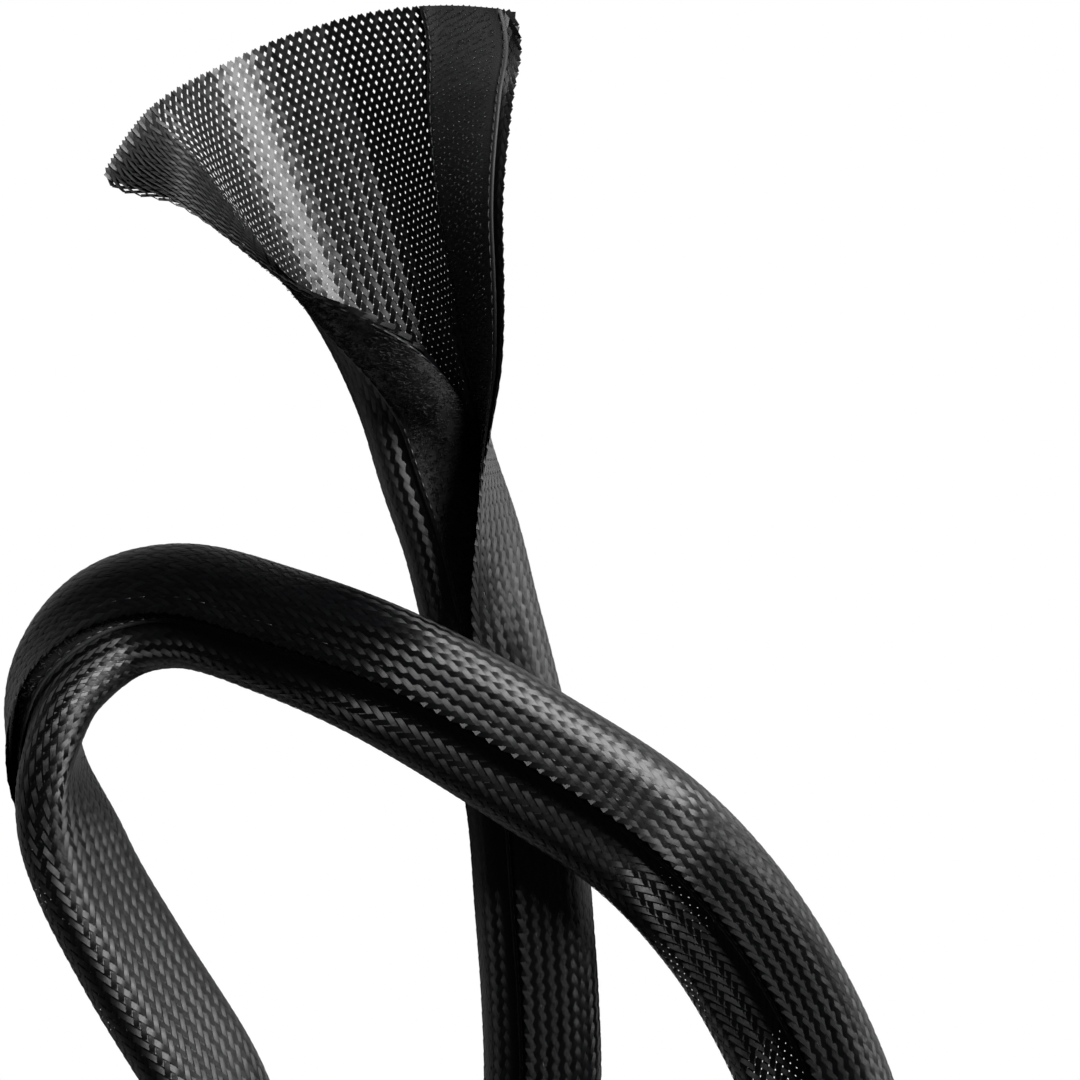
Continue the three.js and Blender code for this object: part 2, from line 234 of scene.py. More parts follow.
class Route:
    """The plan of the sleeve's middle: a centripetal Catmull-Rom curve, read by distance along it."""

    STEPS = 2000
    HEADING_STEP = 1e-4

    def __init__(self, points: Knots) -> None:
        """Measures the curve.

        Args:
            points: The points that it runs through.
        """
        inner = np.array(points, float)
        self.points = np.vstack([2 * inner[0] - inner[1], inner, 2 * inner[-1] - inner[-2]])
        self.spans = len(inner) - 1
        shares = np.linspace(0, 1, self.STEPS + 1)
        steps = np.linalg.norm(np.diff(self.at_share(shares), axis=0), axis=1)
        self.lengths = np.concatenate([[0.0], np.cumsum(steps)])
        self.shares = shares

    @property
    def length(self) -> float:
        """Length of the whole curve."""
        return float(self.lengths[-1])

    def at_share(self, share: np.ndarray) -> np.ndarray:
        """Reads the curve by its parameter.

        Args:
            share: From 0 at the first point to 1 at the last.

        Returns:
            The points there, one row each.
        """
        along = np.asarray(share, float) * self.spans
        i = np.minimum(along.astype(int), self.spans - 1)
        u = (along - i)[:, None]
        p0, p1, p2, p3 = (self.points[i + k] for k in range(4))
        t0, t1, t2 = (
            np.linalg.norm(b - a, axis=1)[:, None] ** 0.5 for a, b in ((p0, p1), (p1, p2), (p2, p3))
        )
        leave = ((p1 - p0) / t0 - (p2 - p0) / (t0 + t1) + (p2 - p1) / t1) * t1
        arrive = ((p2 - p1) / t1 - (p3 - p1) / (t1 + t2) + (p3 - p2) / t2) * t1
        square = -3 * p1 + 3 * p2 - 2 * leave - arrive
        cube = 2 * p1 - 2 * p2 + leave + arrive
        return p1 + leave * u + square * u**2 + cube * u**3

    def at(self, distance: np.ndarray) -> tuple[np.ndarray, np.ndarray]:
        """Reads the curve by distance.

        Args:
            distance: Distances from its first point.

        Returns:
            The points there and the unit headings.
        """
        share = np.interp(distance, self.lengths, self.shares)
        before, after = np.maximum(share - self.HEADING_STEP, 0), np.minimum(share + self.HEADING_STEP, 1)
        ahead = self.at_share(after) - self.at_share(before)
        return self.at_share(share), ahead / np.linalg.norm(ahead, axis=1)[:, None]

    def distance_of(self, point: int) -> float:
        """Finds one of the curve's own points.

        Args:
            point: Its number, counted from 0.

        Returns:
            Its distance along the curve.
        """
        return float(self.lengths[round(point / self.spans * self.STEPS)])


def along_stages(
    reach: np.ndarray, stages: Sequence[tuple[Any, Any, Any]]
) -> tuple[np.ndarray, np.ndarray, np.ndarray]:
    """Follows a strip that runs straight, bends up, and runs on, stage by stage.

    Args:
        reach: How far along the strip to go.
        stages: For each stage its straight length, its radius and its angle.

    Returns:
        The place sideways, the height and the direction there, in radians.
    """
    x, z, turn, left = np.zeros_like(reach), np.zeros_like(reach), np.zeros_like(reach), reach
    for straight, radius, angle in [*stages, (np.inf, 1.0, 0.0)]:
        step = np.minimum(left, straight)
        x, z, left = x + step * np.cos(turn), z + step * np.sin(turn), left - step
        bent = np.minimum(left / radius, angle)
        x = x + radius * (np.sin(turn + bent) - np.sin(turn))
        z = z + radius * (np.cos(turn) - np.cos(turn + bent))
        turn, left = turn + bent, left - bent * radius
    return x, z, turn


class Surface:
    """The middle of the cloth as a surface, with its outward side, in the part's frame."""

    LOWEST_LINES = 61

    def __init__(self, sizes: WrapSizes) -> None:
        """Prepares the changes along the sleeve.

        Args:
            sizes: The sizes of the wrap.
        """
        self.sizes = sizes
        self.route = Route(ROUTE)
        self.flap_angle, self.lap_angle = SmoothValue(FLAP_ANGLES), SmoothValue(LAP_ANGLES)
        self.curl_share, self.spread = SmoothValue(CURL_SHARES), SmoothValue(SPREADS)
        self.widening, self.roll, self.lean = SmoothValue(WIDENINGS), SmoothValue(ROLLS), SmoothValue(LEANS)
        self.fan_share = SmoothValue(((0, 1), (sizes.fan_radius, 0)))
        self.band_at = self.route.distance_of(BAND_POINT)

    def section(self, distance: np.ndarray, across: np.ndarray) -> tuple[np.ndarray, ...]:
        """Bends the cloth into its section.

        Args:
            distance: Distances along the sleeve.
            across: Places across the cloth, positive towards the flap.

        Returns:
            The place sideways and the height of the cloth's middle, and its normal in the section.
        """
        s = self.sizes
        wider = self.widening(distance)
        run = s.run_width + wider
        opened = self.fan_share(distance)
        lap_radius = s.lap_fold_radius + (s.fan_fold_radius - s.lap_fold_radius) * opened
        curl = self.curl_share(distance) * s.curl_length / s.curl_radius
        flap = [(run / 2, s.fold_radius, np.radians(self.flap_angle(distance)))]
        lap = [
            (run / 2, lap_radius, np.radians(self.lap_angle(distance))),
            (run, s.curl_length / np.maximum(curl, LEAST_CURL), curl),
        ]
        on_lap = across < 0
        sewn = np.where(on_lap, -s.loop_zone[1], s.hook_zone[0])
        open_part = np.minimum(np.abs(across), sewn)
        added = np.where(on_lap, LAP_RUNS, FLAP_RUNS) * wider * open_part / sewn
        reach = open_part * self.spread(distance) + added + np.abs(across) - open_part
        x, z, turn = (
            np.where(on_lap, a, b) for a, b in zip(along_stages(reach, lap), along_stages(reach, flap))
        )
        side = np.where(on_lap, -1.0, 1.0)
        shift = (s.fold_radius - s.lap_fold_radius) / 2
        return side * x - shift, z, side * np.sin(turn), -np.cos(turn)

    def turned(self, distance: np.ndarray, across: np.ndarray, out: np.ndarray) -> tuple[np.ndarray, ...]:
        """Rolls the section about the middle of the tube.

        Args:
            distance: Distances along the sleeve.
            across: Places across the cloth.
            out: Distances out from its middle.

        Returns:
            The place sideways and the height of each point.
        """
        x, z, nx, nz = self.section(distance, across)
        x, z = x + nx * out, z + nz * out - self.sizes.fold_radius
        angle = np.radians(self.roll(distance))
        return x * np.cos(angle) + z * np.sin(angle), z * np.cos(angle) - x * np.sin(angle)

    def floor_level(self, distance: np.ndarray) -> np.ndarray:
        """Finds how far each row is let down so that it lies on the floor, or over the lower leg.

        Args:
            distance: Distances along the sleeve, one per row.

        Returns:
            The height to take off each row.
        """
        s = self.sizes
        lines = np.linspace(-s.lap_reach, s.flap_reach, self.LOWEST_LINES)
        ridges = np.where(np.abs(lines) > s.run_width / 2, s.braid_relief, 0.0)
        reach = s.braid_thickness / 2 + ridges[None, :]
        low = self.turned(distance[:, None], lines[None, :], reach)[1].min(axis=1)
        away = np.clip((np.abs(distance - self.band_at) - s.crossing_flat) / s.crossing_ramp, 0, 1)
        lifted = s.tube_height + 2 * s.braid_relief + s.crossing_clearance
        return low - lifted * (1 - away * away * (3 - 2 * away))

    def points(self, distance: np.ndarray, across: np.ndarray, out: np.ndarray) -> np.ndarray:
        """Places points on the surface.

        Args:
            distance: Distances along the sleeve.
            across: Places across the cloth.
            out: Distances out from its middle. The three are broadcast together.

        Returns:
            The points in the part's frame, with their coordinates last.
        """
        d, a, o = np.broadcast_arrays(*(np.asarray(v, float) for v in (distance, across, out)))
        rows, back = np.unique(d.ravel(), return_inverse=True)
        place, heading = self.route.at(np.clip(rows, 0, self.route.length))
        beyond = rows - np.clip(rows, 0, self.route.length)
        place = place + heading * beyond[:, None]
        back = back.reshape(d.shape)
        x, z = self.turned(d, a, o)
        bend = np.maximum(self.fan_share(d) / self.sizes.fan_radius, LEAST_BEND)
        side, ahead = np.sin(x * bend) / bend, (1 - np.cos(x * bend)) / bend
        ahead = ahead + self.lean(d) * (np.minimum(a, 0) / self.sizes.lap_reach) ** 2
        hx, hy = heading[back, 0], heading[back, 1]
        origin = ROUTE[ORIGIN_POINT]
        return np.stack(
            [
                place[back, 0] - hy * side + hx * ahead - origin[0],
                place[back, 1] + hx * side + hy * ahead - origin[1],
                z - self.floor_level(rows)[back],
            ],
            axis=-1,
        )

    def frames(
        self, distance: np.ndarray, across: np.ndarray, out: np.ndarray
    ) -> tuple[np.ndarray, np.ndarray]:
        """Places points with the cloth's outward normals.

        Args:
            distance: Distances along the sleeve.
            across: Places across the cloth.
            out: Distances out from its middle.

        Returns:
            The points and the unit normals.
        """
        middle = self.points(distance, across, out)
        normal = self.points(distance, across, np.asarray(out) + PROBE) - middle
        return middle, normal / np.linalg.norm(normal, axis=-1, keepdims=True)


def unit(vectors: np.ndarray) -> np.ndarray:
    """Scales vectors to length 1.

    Args:
        vectors: Vectors, with their coordinates last.

    Returns:
        The same directions at length 1.
    """
    return vectors / np.maximum(np.linalg.norm(vectors, axis=-1, keepdims=True), LEAST_LENGTH)


class MeshParts:
    """Collects vertices, faces, pattern coordinates and tones, and ends as one object."""

    def __init__(self) -> None:
        """Starts with nothing."""
        self.vertices: list[np.ndarray] = []
        self.faces: list[np.ndarray] = []
        self.coordinates: list[np.ndarray] = []
        self.tones: list[np.ndarray] = []
        self.count = 0

    def grid(self, points: np.ndarray, pattern: np.ndarray, tone: float = 0.5, closed: bool = False) -> None:
        """Adds a grid of four-sided faces.

        Args:
            points: Points in millimetres, rows by columns by 3.
            pattern: Pattern coordinates in millimetres, rows by columns by 2.
            tone: A value from 0 to 1 that the material may vary by.
            closed: Whether the last column joins the first.
        """
        rows, columns = points.shape[:2]
        number = self.count + np.arange(rows * columns).reshape(rows, columns)
        if closed:
            number = np.hstack([number, number[:, :1]])
        corners = (number[:-1, :-1], number[:-1, 1:], number[1:, 1:], number[1:, :-1])
        self.vertices.append(points.reshape(-1, 3))
        self.coordinates.append(pattern.reshape(-1, 2))
        self.faces.append(np.stack(corners, axis=-1).reshape(-1, 4))
        self.tones.append(np.full(rows * columns, tone))
        self.count += rows * columns

    def finish(self, name: str, material: bpy.types.Material, smooth: bool = True) -> bpy.types.Object:
        """Makes the object.

        Args:
            name: Its name.
            material: Its only material.
            smooth: Whether its faces are shaded smooth.

        Returns:
            The object, linked into the scene.
        """
        faces = np.vstack(self.faces)
        mesh = bpy.data.meshes.new(name)
        mesh.from_pydata((np.vstack(self.vertices) * MM).tolist(), [], faces.tolist())
        layer = mesh.uv_layers.new(name="pattern")
        layer.data.foreach_set("uv", np.vstack(self.coordinates)[faces.ravel()].astype(np.float32).ravel())
        tone = mesh.attributes.new("tone", "FLOAT", "POINT")
        tone.data.foreach_set("value", np.concatenate(self.tones).astype(np.float32))
        mesh.polygons.foreach_set("use_smooth", np.full(len(faces), smooth))
        mesh.materials.append(material)
        mesh.update()
        made = bpy.data.objects.new(name, mesh)
        bpy.context.scene.collection.objects.link(made)
        LOG.info("%s: %d triangles", name, 2 * len(faces))
        return made


@dataclass(frozen=True)
class Braid:
    """The braid's lattice and its strands, in millimetres."""

    columns: int = 134
    row_step: float = 1.58
    fan_row_step: float = 1.78
    strand_width: float = 1.18
    fan_strand_width: float = 1.15
    half_depth: float = 0.09
    crown: float = 0.05
    fray: float = 0.1
    samples: int = 4000

    def rows(self, surface: Surface) -> np.ndarray:
        """Spaces the rows of crossings along the sleeve.

        Args:
            surface: The surface that the braid lies on.

        Returns:
            The distance of each row, from the fan's cut edge to the far end.
        """
        fine = np.linspace(0, surface.route.length, self.samples)
        open_share = surface.fan_share(fine)
        step = self.row_step + (self.fan_row_step - self.row_step) * open_share
        passed = np.diff(fine) / ((step[1:] + step[:-1]) / 2)
        counted = np.concatenate([[0.0], np.cumsum(passed)])
        return np.interp(np.arange(int(counted[-1]) + 1), counted, fine)

    def is_over(self, column: np.ndarray, family: Family) -> np.ndarray:
        """Tells where a family's strands lie on the outer side, in a weave of two over and two under.

        Args:
            column: Columns of crossings, counted across the cloth.
            family: Which way the strands lean.

        Returns:
            True where they lie outside.
        """
        first_half = column % (2 * FLOAT) < FLOAT
        return first_half if family is Family.LEFT else ~first_half

    def build(self, surface: Surface, family: Family, material: bpy.types.Material) -> bpy.types.Object:
        """Weaves one family of strands as crowned ribbons.

        Args:
            surface: The surface that the braid lies on.
            family: Which way its strands lean.
            material: The strands' material.

        Returns:
            The object.
        """
        sizes = surface.sizes
        random = np.random.default_rng(SEED + family.value)
        rows = self.rows(surface)
        across = np.linspace(-sizes.lap_reach, sizes.flap_reach, self.columns + 1)
        grid, normals = surface.frames(rows[:, None], across[None, :], np.zeros(1))
        width = self.strand_width + (self.fan_strand_width - self.strand_width) * surface.fan_share(rows)
        parts = MeshParts()
        last_row, last_column = len(rows) - 1, self.columns
        edge = 0 if family is Family.RIGHT else last_column
        starts = [(0, c) for c in range(0, last_column + 1, 2)]
        starts += [(r, edge) for r in range(1, last_row) if (r + edge) % 2 == 0]
        for row, column in starts:
            room = last_column - column if family is Family.RIGHT else column
            count = min(last_row - row, room) + 1
            if count < 2:
                continue
            steps = np.arange(count)
            r, c = row + steps, column + family.value * steps
            out = np.where(self.is_over(c, family), 1.0, -1.0)
            middle = grid[r, c] + normals[r, c] * (out * self.half_depth)[:, None]
            if row == 0:
                middle[0] += (middle[0] - middle[1]) * random.uniform(0, self.fray)
            along = unit(np.gradient(middle, axis=0))
            sideways = unit(np.cross(along, normals[r, c]))
            up = np.cross(sideways, along) * (out * self.crown)[:, None]
            half = (sideways * (width[r] / 2)[:, None])
            run = np.concatenate([[0.0], np.cumsum(np.linalg.norm(np.diff(middle, axis=0), axis=1))])
            points = np.stack([middle - half - up, middle + up, middle + half - up], axis=1)
            places = np.stack(np.broadcast_arrays(np.array([0.0, 0.5, 1.0])[None, :], run[:, None]), axis=-1)
            parts.grid(points, places, float(random.uniform(0, 1)))
        name = f"braid_strands_{family.name.lower()}"
        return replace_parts(parts.finish(name, material), "braided_sheet")


@dataclass(frozen=True)
class Tape:
    """A woven tape that is sewn to the cloth, in millimetres."""

    name: str
    zone: tuple[float, float]
    face: Face
    rib_step: float = 0.55
    rib_depth: float = 0.11
    ground_thickness: float = 0.45
    rows_per_rib: int = 2
    rib_rise: float = 0.12
    rim_width: float = 0.35
    rim_thickness: float = 0.18
    rim_rib_share: float = 0.25
    slope_width: float = 0.3
    field_lines: int = 6
    back_pattern_offset: float = 40.0

    def base(self, sizes: WrapSizes) -> float:
        """Distance from the cloth's middle to the tape's back."""
        return sizes.braid_thickness / 2 + sizes.sewn_gap * 0.5

    def build(self, surface: Surface, material: bpy.types.Material) -> bpy.types.Object:
        """Makes the tape's ground: a closed strip with ribbed selvedges.

        Args:
            surface: The surface that it lies on.
            material: The ground's material.

        Returns:
            The object.
        """
        sizes = surface.sizes
        selvedge = sizes.tape_selvedge_width
        low, high = self.zone
        inner = np.linspace(low + selvedge, high - selvedge, self.field_lines)
        low_lines = [low, low + self.rim_width, low + selvedge - self.slope_width]
        high_lines = [high - selvedge + self.slope_width, high - self.rim_width, high]
        lines = np.concatenate([low_lines, inner, high_lines])
        shares = [self.rim_rib_share, 1.0, 1.0]
        rounded = np.concatenate([shares, np.zeros(len(inner)), shares[::-1]])
        count = int(surface.route.length / self.rib_step) * self.rows_per_rib
        rows = np.linspace(0, surface.route.length, count + 1)
        up_and_down = np.where(np.arange(count + 1) % 2 == 0, 1.0, -1.0)
        rib = up_and_down[:, None] * self.rib_depth * rounded[None, :]
        on_selvedge = sizes.tape_selvedge_thickness + self.rib_rise
        thick = np.where(rounded > 0, on_selvedge, self.ground_thickness)
        thick = np.where(rounded == self.rim_rib_share, self.rim_thickness, thick)
        base = self.base(sizes)
        far = surface.points(rows[:, None], lines[None, :], self.face.value * (base + thick[None, :] + rib))
        near_rows = np.full(far.shape[:2], self.face.value * base)
        near = surface.points(rows[:, None], lines[None, :], near_rows)
        parts = MeshParts()
        ring = np.concatenate([far, near[:, ::-1]], axis=1)
        if self.face is Face.OUTER:
            ring = ring[:, ::-1]
        pattern = np.concatenate([lines, lines[::-1] + self.back_pattern_offset])
        pattern = np.stack(np.broadcast_arrays(pattern[None, :], rows[:, None]), axis=-1)
        parts.grid(ring, pattern, closed=True)
        made = parts.finish(f"{self.name}_ground", material)
        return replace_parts(made, self.name)


# The side view of a hook: its reach and its height, each as a share of the whole.
HOOK_PROFILE: Knots = ((0, 0), (0.02, 0.45), (0.12, 0.80), (0.45, 1.0), (0.85, 0.92), (1.0, 0.68))


@dataclass(frozen=True)
class HookField:
    """The hook tape's hooks: cut monofilament that stands up and bends over, in millimetres."""

    step_along: float = 1.55
    step_across: float = 1.35
    height: float = 1.15
    reach: float = 0.55
    thickness: float = 0.20
    sides: int = 3
    shortest: float = 0.85
    jitter: float = 0.16
    lean_spread: float = 0.5
    end_margin: float = 1.0
    side_margin: float = 0.4
    root_depth: float = 0.1
    pattern_step: float = 0.3

    def build(self, surface: Surface, tape: Tape, material: bpy.types.Material) -> bpy.types.Object:
        """Stands the hooks on the tape.

        Args:
            surface: The surface that the tape lies on.
            tape: The hook tape.
            material: The hooks' material.

        Returns:
            The object.
        """
        random = np.random.default_rng(SEED + 2)
        margin = surface.sizes.tape_selvedge_width + self.side_margin
        low, high = tape.zone[0] + margin, tape.zone[1] - margin
        places_across = np.arange(low, high, self.step_across)
        last = surface.route.length - self.end_margin
        places_along = np.arange(self.end_margin, last, self.step_along)
        d, a = (v.ravel() for v in np.meshgrid(places_along, places_across, indexing="ij"))
        odd = (np.round((a - low) / self.step_across).astype(int) % 2) * self.step_along / 2
        d = d + odd + random.normal(0, self.jitter, len(d))
        a = a + random.normal(0, self.jitter, len(a))
        backward = random.uniform(size=len(d)) >= 0.5
        lean = np.where(backward, math.pi, 0.0) + random.normal(0, self.lean_spread, len(d))
        profile = np.array(HOOK_PROFILE)
        reach = profile[:, 0] * self.reach
        height = profile[:, 1] * self.height
        root = tape.base(surface.sizes) + tape.ground_thickness - self.root_depth
        scale = random.uniform(self.shortest, 1.0, len(d))[:, None]
        around = np.arange(self.sides) * 2 * math.pi / self.sides
        middle = surface.points(
            d[:, None] + np.cos(lean)[:, None] * reach * scale,
            a[:, None] + np.sin(lean)[:, None] * reach * scale,
            tape.face.value * (root + height[None, :] * scale),
        )
        along = unit(np.gradient(middle, axis=1))
        foot = surface.points(d, a, np.zeros(1))
        across = surface.points(d, a + PROBE, np.zeros(1)) - foot
        ahead = surface.points(d + PROBE, a, np.zeros(1)) - foot
        flat = unit(across * np.cos(lean)[:, None] - ahead * np.sin(lean)[:, None])[:, None, :]
        other = unit(np.cross(along, np.broadcast_to(flat, along.shape)))
        parts = MeshParts()
        half = self.thickness / 2
        ring = (
            middle[:, :, None, :]
            + half * np.cos(around)[None, None, :, None] * flat[:, :, None, :]
            + half * np.sin(around)[None, None, :, None] * other[:, :, None, :]
        )
        pattern = np.zeros((len(profile), self.sides, 2))
        pattern[..., 1] = np.arange(len(profile))[:, None] * self.pattern_step
        for hook, tone in zip(ring, random.uniform(0, 1, len(ring))):
            parts.grid(hook, pattern, float(tone), closed=True)
        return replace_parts(parts.finish("hook_tape_hooks", material), "hook_tape")


@dataclass(frozen=True)
class LoopPile:
    """The loop tape's pile: a tangle of fine loops, denser where the wrap is open and they can be seen."""

    open_until: float = 175.0
    open_count: int = 9000
    closed_count: int = 6000
    height: float = 1.0
    shortest: float = 0.45
    spans: tuple[float, float] = (0.45, 1.3)
    skew: float = 0.25
    roundness: float = 0.6
    steps: int = 6
    thickness: float = 0.12
    end_margin: float = 0.5
    side_margin: float = 1.0
    root_depth: float = 0.1

    def build(self, surface: Surface, tape: Tape, material: bpy.types.Material) -> bpy.types.Object:
        """Scatters the loops over the tape's field.

        Args:
            surface: The surface that the tape lies on.
            tape: The loop tape.
            material: The pile's material.

        Returns:
            The object.
        """
        random = np.random.default_rng(SEED + 3)
        margin = surface.sizes.tape_selvedge_width
        count = self.open_count + self.closed_count
        last = surface.route.length - self.end_margin
        d = np.concatenate(
            [
                random.uniform(self.end_margin, self.open_until, self.open_count),
                random.uniform(self.open_until, last, self.closed_count),
            ]
        )
        a = random.uniform(tape.zone[0] + margin, tape.zone[1] - margin, count)
        turn = random.uniform(0, 2 * math.pi, count)
        span = random.uniform(*self.spans, count)
        tall = random.uniform(self.shortest, 1.0, count) * self.height
        share = np.linspace(-1, 1, self.steps)
        skew = random.normal(0, self.skew, count)
        root = tape.base(surface.sizes) + tape.ground_thickness - self.root_depth
        bow = (1 - share**2)[None, :]
        side = share[None, :] * span[:, None] / 2
        drift = bow * skew[:, None]
        cos, sin = np.cos(turn)[:, None], np.sin(turn)[:, None]
        along = d[:, None] + cos * side - sin * drift
        low, high = tape.zone[0] + self.side_margin, tape.zone[1] - self.side_margin
        across = np.clip(a[:, None] + sin * side + cos * drift, low, high)
        lifted = root + bow**self.roundness * tall[:, None]
        middle = surface.points(along, across, tape.face.value * lifted)
        heading = unit(np.gradient(middle, axis=1))
        rough = unit(random.normal(0, 1, (count, 1, 3)))
        half = unit(np.cross(heading, np.broadcast_to(rough, heading.shape))) * self.thickness / 2
        ring = np.stack([middle - half, middle + half], axis=2)
        pattern = np.zeros((len(share), 2, 2))
        parts = MeshParts()
        for loop, tone in zip(ring, random.uniform(0, 1, count)):
            parts.grid(loop, pattern, float(tone))
        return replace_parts(parts.finish("loop_tape_pile", material), "loop_tape")


# The side view of a stitch: the place along it as a share of the pitch, and the height in millimetres.
STITCH_PROFILE: Knots = ((0.06, -0.30), (0.14, 0.0), (0.5, 0.12), (0.86, 0.0), (0.94, -0.30))


@dataclass(frozen=True)
class Stitching:
    """A row of lockstitches along a tape's selvedge, in millimetres.

    They stand raised over the tape's selvedge, and are sunk into the braid's other side by that distance
    from the middle of the cloth.
    """

    node: str
    across: float
    face: Face
    pitch: float = 2.6
    thread: float = 0.36
    first: float = 0.8
    raised: float = 0.2
    sunk: float = 0.15
    sides: int = 5

    def build(self, surface: Surface, tape: Tape, material: bpy.types.Material) -> bpy.types.Object:
        """Lays the stitches on the tape and, through the cloth, on the braid's other side.

        Args:
            surface: The surface that the tape lies on.
            tape: The tape that they hold.
            material: The thread's material.

        Returns:
            The object.
        """
        sizes = surface.sizes
        parts = MeshParts()
        on_tape = tape.base(sizes) + sizes.tape_selvedge_thickness + self.raised
        profile = np.array(STITCH_PROFILE)
        starts = np.arange(self.first, surface.route.length - self.pitch, self.pitch)
        around = np.arange(self.sides) * 2 * math.pi / self.sides
        for level, sign in ((on_tape, 1.0), (self.sunk, -1.0)):
            d = starts[:, None] + profile[None, :, 0] * self.pitch + (0.0 if sign > 0 else self.pitch / 2)
            lifted = level + sign * profile[None, :, 1] * np.ones_like(d)
            middle, normal = surface.frames(d, np.full_like(d, self.across), self.face.value * lifted)
            along = unit(np.gradient(middle, axis=1))
            flat = unit(np.cross(along, normal))
            other = np.cross(flat, along)
            ring = (
                middle[:, :, None, :]
                + self.thread / 2 * np.cos(around)[None, None, :, None] * flat[:, :, None, :]
                + self.thread / 2 * np.sin(around)[None, None, :, None] * other[:, :, None, :]
            )
            pattern = np.zeros((profile.shape[0], self.sides, 2))
            pattern[..., 0] = np.arange(self.sides)[None, :] / self.sides
            pattern[..., 1] = profile[:, :1] * self.pitch
            for stitch in ring:
                parts.grid(stitch, pattern, closed=True)
        made = parts.finish(f"{self.node}_stitches", material)
        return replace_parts(made, self.node)


def srgb(code: str) -> tuple[float, float, float, float]:
    """Turns a colour as it looks on the screen into the linear one that shaders take.

    Args:
        code: Six hex digits after a hash mark.

    Returns:
        Linear red, green, blue and an alpha of 1.
    """
    channels = [int(code[i : i + 2], 16) / 255 for i in (1, 3, 5)]
    linear = [c / 12.92 if c <= 0.04045 else ((c + 0.055) / 1.055) ** 2.4 for c in channels]
    return (*linear, 1.0)


def node(
    tree: bpy.types.NodeTree, kind: str, settings: dict[Any, Any], links: dict[Any, Any]
) -> bpy.types.Node:
    """Adds a shader node.

    Args:
        tree: The tree that it goes into.
        kind: The node's type.
        settings: Its properties by name, and its sockets' constants by socket name or number.
        links: What feeds its sockets, by socket name or number.

    Returns:
        The node.
    """
    made = tree.nodes.new(kind)
    for key, value in settings.items():
        if isinstance(key, int) or key in made.inputs:
            made.inputs[key].default_value = value
        else:
            setattr(made, key, value)
    for key, source in links.items():
        tree.links.new(source, made.inputs[key])
    return made


@dataclass(frozen=True)
class Finish:
    """A material of the sleeve: what it is made of and how it catches the light."""

    name: str
    dark: str
    light: str
    roughness: float
    anisotropic: float = 0.0
    sheen: float = 0.0
    sheen_roughness: float = 0.4
    ridges: float = 0.0
    ridge_depth: float = 0.0
    grain_scale: float = 2.0
    grain_depth: float = 0.02
    grain_detail: float = 3.0

    def build(self) -> bpy.types.Material:
        """Makes the material.

        Returns:
            The material, with its shader tree.
        """
        made = bpy.data.materials.new(self.name)
        made.use_nodes = True
        tree = made.node_tree
        tree.nodes.clear()
        place = node(tree, "ShaderNodeUVMap", {"uv_map": "pattern"}, {})
        tone = node(tree, "ShaderNodeAttribute", {"attribute_name": "tone"}, {})
        split = node(tree, "ShaderNodeSeparateXYZ", {}, {0: place.outputs[0]})
        grain = node(
            tree,
            "ShaderNodeTexNoise",
            {"Scale": self.grain_scale, "Detail": self.grain_detail},
            {"Vector": place.outputs[0]},
        )
        mixed = node(
            tree,
            "ShaderNodeMath",
            {"operation": "MULTIPLY"},
            {0: tone.outputs["Fac"], 1: grain.outputs["Fac"]},
        )
        colour = node(
            tree,
            "ShaderNodeMix",
            {"data_type": "RGBA", 6: srgb(self.dark), 7: srgb(self.light)},
            {"Factor": mixed.outputs[0]},
        )
        turns = node(
            tree,
            "ShaderNodeMath",
            {"operation": "MULTIPLY", 1: self.ridges * 2 * math.pi},
            {0: split.outputs[0]},
        )
        wave = node(tree, "ShaderNodeMath", {"operation": "COSINE"}, {0: turns.outputs[0]})
        deep = node(
            tree, "ShaderNodeMath", {"operation": "MULTIPLY", 1: -self.ridge_depth / 2}, {0: wave.outputs[0]}
        )
        height = node(
            tree,
            "ShaderNodeMath",
            {"operation": "MULTIPLY_ADD", 1: self.grain_depth},
            {0: grain.outputs["Fac"], 2: deep.outputs[0]},
        )
        bump = node(
            tree, "ShaderNodeBump", {"Strength": 1.0, "Distance": MM}, {"Height": height.outputs[0]}
        )
        tangent = node(
            tree, "ShaderNodeTangent", {"direction_type": "UV_MAP", "uv_map": "pattern"}, {}
        )
        shader = node(
            tree,
            "ShaderNodeBsdfPrincipled",
            {
                "Roughness": self.roughness,
                "Anisotropic": self.anisotropic,
                "Sheen Weight": self.sheen,
                "Sheen Roughness": self.sheen_roughness,
            },
            {"Base Color": colour.outputs[2], "Normal": bump.outputs[0], "Tangent": tangent.outputs[0]},
        )
        node(tree, "ShaderNodeOutputMaterial", {}, {"Surface": shader.outputs[0]})
        return made


# Extruded polyester monofilament, several side by side in each strand: smooth and hard, so that it shines
# in thin lines across the strand's direction, and stays black elsewhere.
STRAND_FINISH = Finish(
    "polyester_monofilament_braided_black", "#020203", "#0a0b0c", 0.40, anisotropic=0.88, ridges=5.0,
    ridge_depth=0.02, grain_scale=0.8, grain_depth=0.01,
)
# Woven nylon ground of a touch fastener: dull, with a fine grain of its weave.
GROUND_FINISH = Finish(
    "nylon_tape_woven_black", "#040405", "#151617", 0.62, sheen=0.05, grain_scale=2.6, grain_depth=0.08
)
# Nylon monofilament of the hooks: clear and smooth, so that each hook has a bright glint on its bend.
HOOK_FINISH = Finish("nylon_monofilament_cut_hooks", "#0a0a0b", "#2a2b2d", 0.22, grain_depth=0.0)
# Nylon multifilament of the loops: brushed up into a dull tangle with almost no shine.
PILE_FINISH = Finish("nylon_pile_brushed_black", "#050506", "#1c1d1e", 0.70, sheen=0.10, grain_depth=0.0)
# Twisted polyester sewing thread: a little lighter than the cloth, with a soft shine.
THREAD_FINISH = Finish(
    "polyester_sewing_thread_twisted", "#08080a", "#1c1d1f", 0.42, ridges=2.0, ridge_depth=0.04
)


